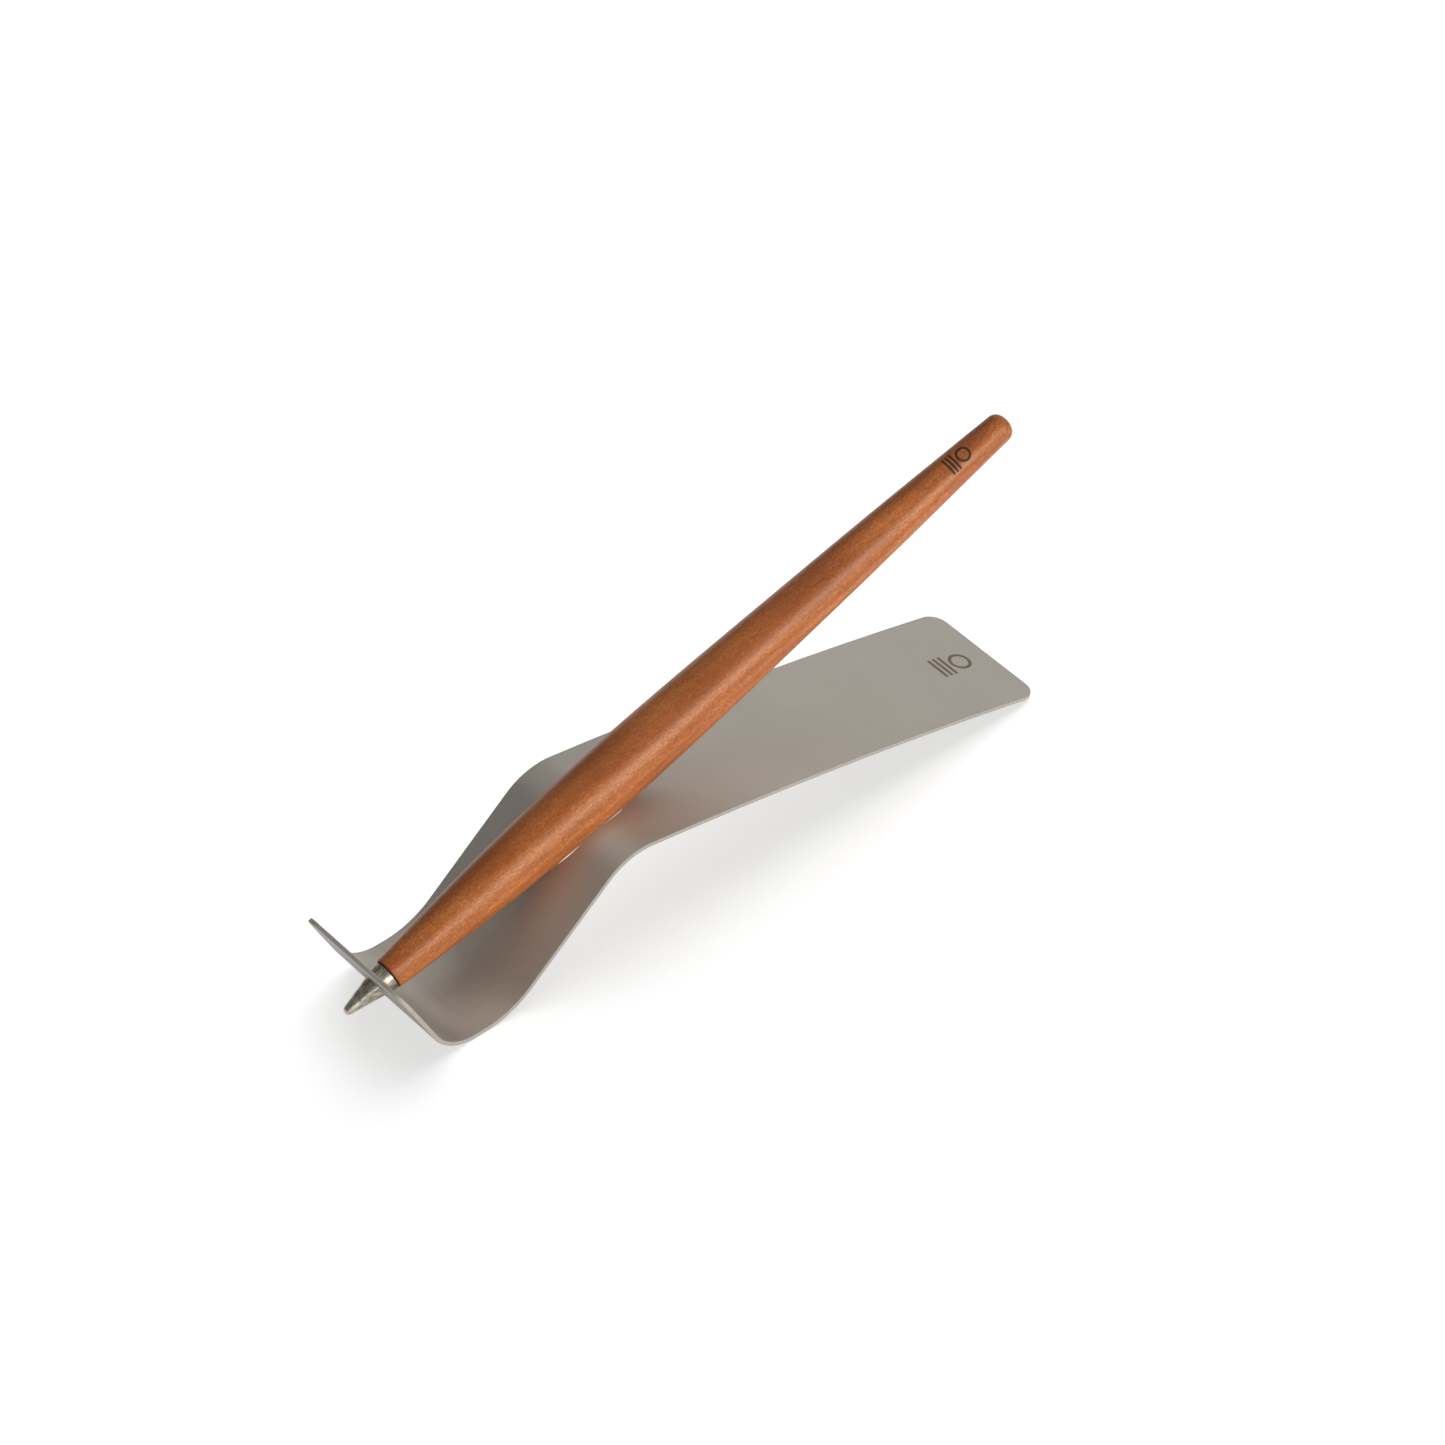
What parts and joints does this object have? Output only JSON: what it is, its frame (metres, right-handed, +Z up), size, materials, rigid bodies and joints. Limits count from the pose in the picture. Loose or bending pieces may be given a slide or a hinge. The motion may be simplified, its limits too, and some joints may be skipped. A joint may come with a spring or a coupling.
{
  "type": "metal-point stylus with stand",
  "caption": "Turned wooden stylus with a metal point, lying in a bent strip stand with a scoop, an upturned lip, and a cradle hole at the crest.",
  "frame": {"origin": "middle of the whole object's bounding box, on the surface it stands on", "axes": "+X from the stand's lip and the metal point towards the tail, +Y across the strip, +Z up"},
  "size_m": [0.162, 0.03, 0.0616],
  "materials": {
    "stand_plate": "satin",
    "barrel": "satin",
    "threaded_bush": "machined",
    "seat_ring": "matt",
    "metal_point": "dark nickel, worn"
  },
  "bodies": {
    "stand": {"stand_plate": "stand_plate"},
    "point": {"metal_point": "metal_point"},
    "ring": {"seat_ring": "seat_ring"},
    "handle": {"barrel": "barrel", "threaded_bush": "threaded_bush"}
  },
  "joints": [
    {"name": "stylus_draw", "type": "slide", "parent": "stand", "child": "point", "axis": [0.9519, 0, 0.3065], "range_m": [0, 0.075]},
    {"name": "barrel_turn", "type": "hinge", "parent": "point", "child": "ring", "pos_m": [-0.07052, 0, 0.0107], "axis": [0.9519, 0, 0.3065], "range_deg": [0, 2880]},
    {"name": "barrel_back", "type": "slide", "parent": "ring", "child": "handle", "axis": [0.9519, 0, 0.3065], "range_m": [0, 0.004]}
  ],
  "couplings": [
    {"joint": "barrel_turn", "follows": "barrel_back", "rad_per_m": 12566}
  ]
}
